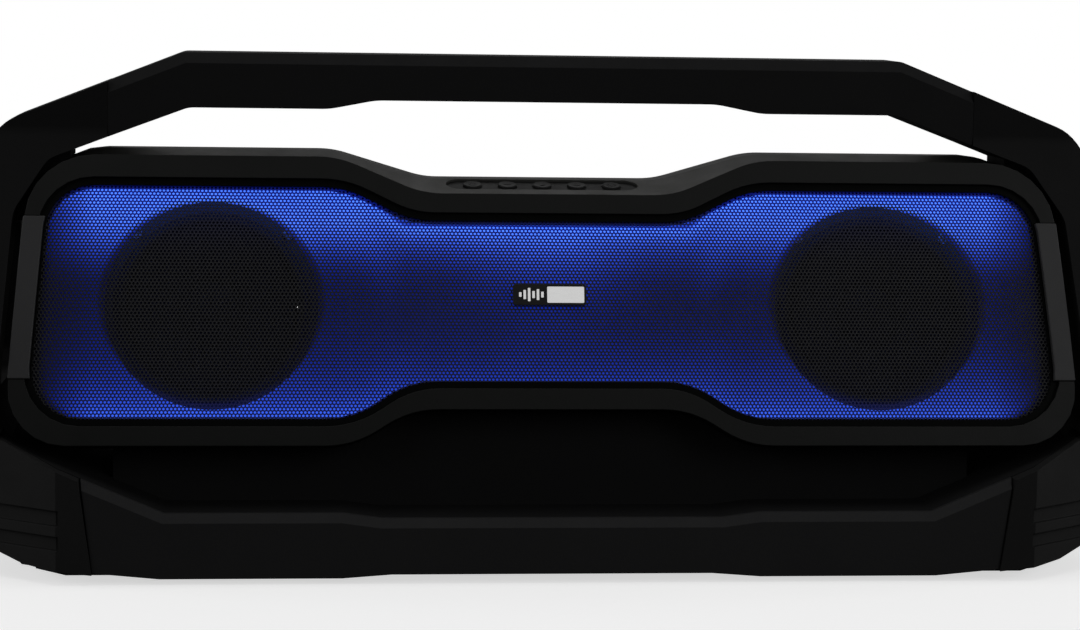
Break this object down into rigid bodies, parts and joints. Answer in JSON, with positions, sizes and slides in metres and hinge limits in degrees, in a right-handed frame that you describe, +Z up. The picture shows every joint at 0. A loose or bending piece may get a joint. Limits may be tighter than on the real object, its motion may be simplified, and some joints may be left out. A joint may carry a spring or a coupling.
{
  "type": "party speaker",
  "caption": "Rugged boombox speaker with a lit perforated front, set in a roll-cage frame with a carrying handle and a shallow base.",
  "frame": {"origin": "on the floor, under the middle of the base", "axes": "+Z up, the grille faces -Y, +X to the right seen from the front"},
  "size_m": [0.55, 0.17, 0.2426],
  "materials": {
    "cage_plastic": "fine moulded grain, satin",
    "skirt_plastic": "moulded grain, matt",
    "handle_plastic": "soft-touch satin",
    "bumper_rubber": "matt rubber",
    "foot_rubber": "matt rubber",
    "bezel_plastic": "satin, slightly green black",
    "trim_plastic": "satin dark grey",
    "housing_plastic": "satin moulded grain",
    "grille_metal": "powder-coated perforated sheet",
    "gasket_foam": "closed-cell foam",
    "badge_plate": "plain two-tone plate",
    "diffuser_acrylic": "lit translucent acrylic",
    "led_light": "lit diodes on a white board",
    "basket_metal": "black stamped steel",
    "magnet_ferrite": "dark ferrite and zinc-plated steel",
    "cone_paper": "pressed paper pulp",
    "surround_rubber": "butyl rubber",
    "spider_cloth": "resin-soaked cloth",
    "baffle_plastic": "matt",
    "screw_steel": "zinc-plated",
    "radiator_metal": "anodised dark grey",
    "panel_rubber": "silicone membrane",
    "button_rubber": "silicone keys",
    "socket_metal": "nickel-plated shells",
    "circuit_board": "green solder mask",
    "cell_wrap": "heat-shrink wrap",
    "bracket_plastic": "matt",
    "cable_jacket": "red insulation"
  },
  "bodies": {
    "chassis": {"base_tray": "cage_plastic", "base_plate": "cage_plastic", "front_skirt": "skirt_plastic", "rear_skirt": "skirt_plastic", "left_bumper": "bumper_rubber", "right_bumper": "bumper_rubber", "feet": "foot_rubber", "base_screws": "screw_steel", "left_arm": "cage_plastic", "right_arm": "cage_plastic", "handle_shell": "handle_plastic", "handle_cover": "handle_plastic", "handle_screws": "screw_steel", "front_bezel": "bezel_plastic", "left_side_trim": "trim_plastic", "right_side_trim": "trim_plastic", "grille": "grille_metal", "grille_gasket": "gasket_foam", "badge": "badge_plate", "light_diffuser": "diffuser_acrylic", "led_strip_top": "led_light", "led_strip_bottom": "led_light", "baffle": "baffle_plastic", "woofer_screws": "screw_steel", "left_woofer_basket": "basket_metal", "left_woofer_magnet": "magnet_ferrite", "left_woofer_surround": "surround_rubber", "left_woofer_spider": "spider_cloth", "right_woofer_basket": "basket_metal", "right_woofer_magnet": "magnet_ferrite", "right_woofer_surround": "surround_rubber", "right_woofer_spider": "spider_cloth", "rear_housing": "housing_plastic", "housing_seal": "gasket_foam", "housing_screws": "screw_steel", "radiator_frames": "baffle_plastic", "radiator_surrounds": "surround_rubber", "port_panel": "housing_plastic", "sockets": "socket_metal", "port_cover_pin": "screw_steel", "control_panel": "panel_rubber", "button_board": "circuit_board", "main_board": "circuit_board", "battery_cells": "cell_wrap", "battery_bracket": "bracket_plastic", "speaker_cables": "cable_jacket"},
    "left_woofer_cone": {"left_woofer_cone": "cone_paper"},
    "right_woofer_cone": {"right_woofer_cone": "cone_paper"},
    "left_radiator_plate": {"left_radiator_plate": "radiator_metal"},
    "right_radiator_plate": {"right_radiator_plate": "radiator_metal"},
    "port_cover": {"port_cover": "panel_rubber"},
    "power_button": {"power_button": "button_rubber"},
    "volume_down_button": {"volume_down_button": "button_rubber"},
    "play_button": {"play_button": "button_rubber"},
    "volume_up_button": {"volume_up_button": "button_rubber"},
    "light_button": {"light_button": "button_rubber"}
  },
  "joints": [
    {"name": "left_cone_stroke", "type": "slide", "parent": "chassis", "child": "left_woofer_cone", "axis": [0, -0.9537, 0.3007], "range_m": [-0.0025, 0.0025], "stiffness_N_per_m": 1200},
    {"name": "right_cone_stroke", "type": "slide", "parent": "chassis", "child": "right_woofer_cone", "axis": [0, -0.9537, 0.3007], "range_m": [-0.0025, 0.0025], "stiffness_N_per_m": 1200},
    {"name": "left_radiator_stroke", "type": "slide", "parent": "chassis", "child": "left_radiator_plate", "axis": [0, 0.9511, 0.309], "range_m": [-0.004, 0.004], "stiffness_N_per_m": 600},
    {"name": "right_radiator_stroke", "type": "slide", "parent": "chassis", "child": "right_radiator_plate", "axis": [0, 0.9511, 0.309], "range_m": [-0.004, 0.004], "stiffness_N_per_m": 600},
    {"name": "port_cover_hinge", "type": "hinge", "parent": "chassis", "child": "port_cover", "pos_m": [0, 0.04759, 0.10883], "axis": [-1, 0, 0], "range_deg": [0, 110]},
    {"name": "power_button_press", "type": "slide", "parent": "chassis", "child": "power_button", "axis": [0, 0.2504, -0.9681], "range_m": [0, 0.0008], "stiffness_N_per_m": 1500},
    {"name": "volume_down_button_press", "type": "slide", "parent": "chassis", "child": "volume_down_button", "axis": [0, 0.2504, -0.9681], "range_m": [0, 0.0008], "stiffness_N_per_m": 1500},
    {"name": "play_button_press", "type": "slide", "parent": "chassis", "child": "play_button", "axis": [0, 0.2504, -0.9681], "range_m": [0, 0.0008], "stiffness_N_per_m": 1500},
    {"name": "volume_up_button_press", "type": "slide", "parent": "chassis", "child": "volume_up_button", "axis": [0, 0.2504, -0.9681], "range_m": [0, 0.0008], "stiffness_N_per_m": 1500},
    {"name": "light_button_press", "type": "slide", "parent": "chassis", "child": "light_button", "axis": [0, 0.2504, -0.9681], "range_m": [0, 0.0008], "stiffness_N_per_m": 1500}
  ]
}
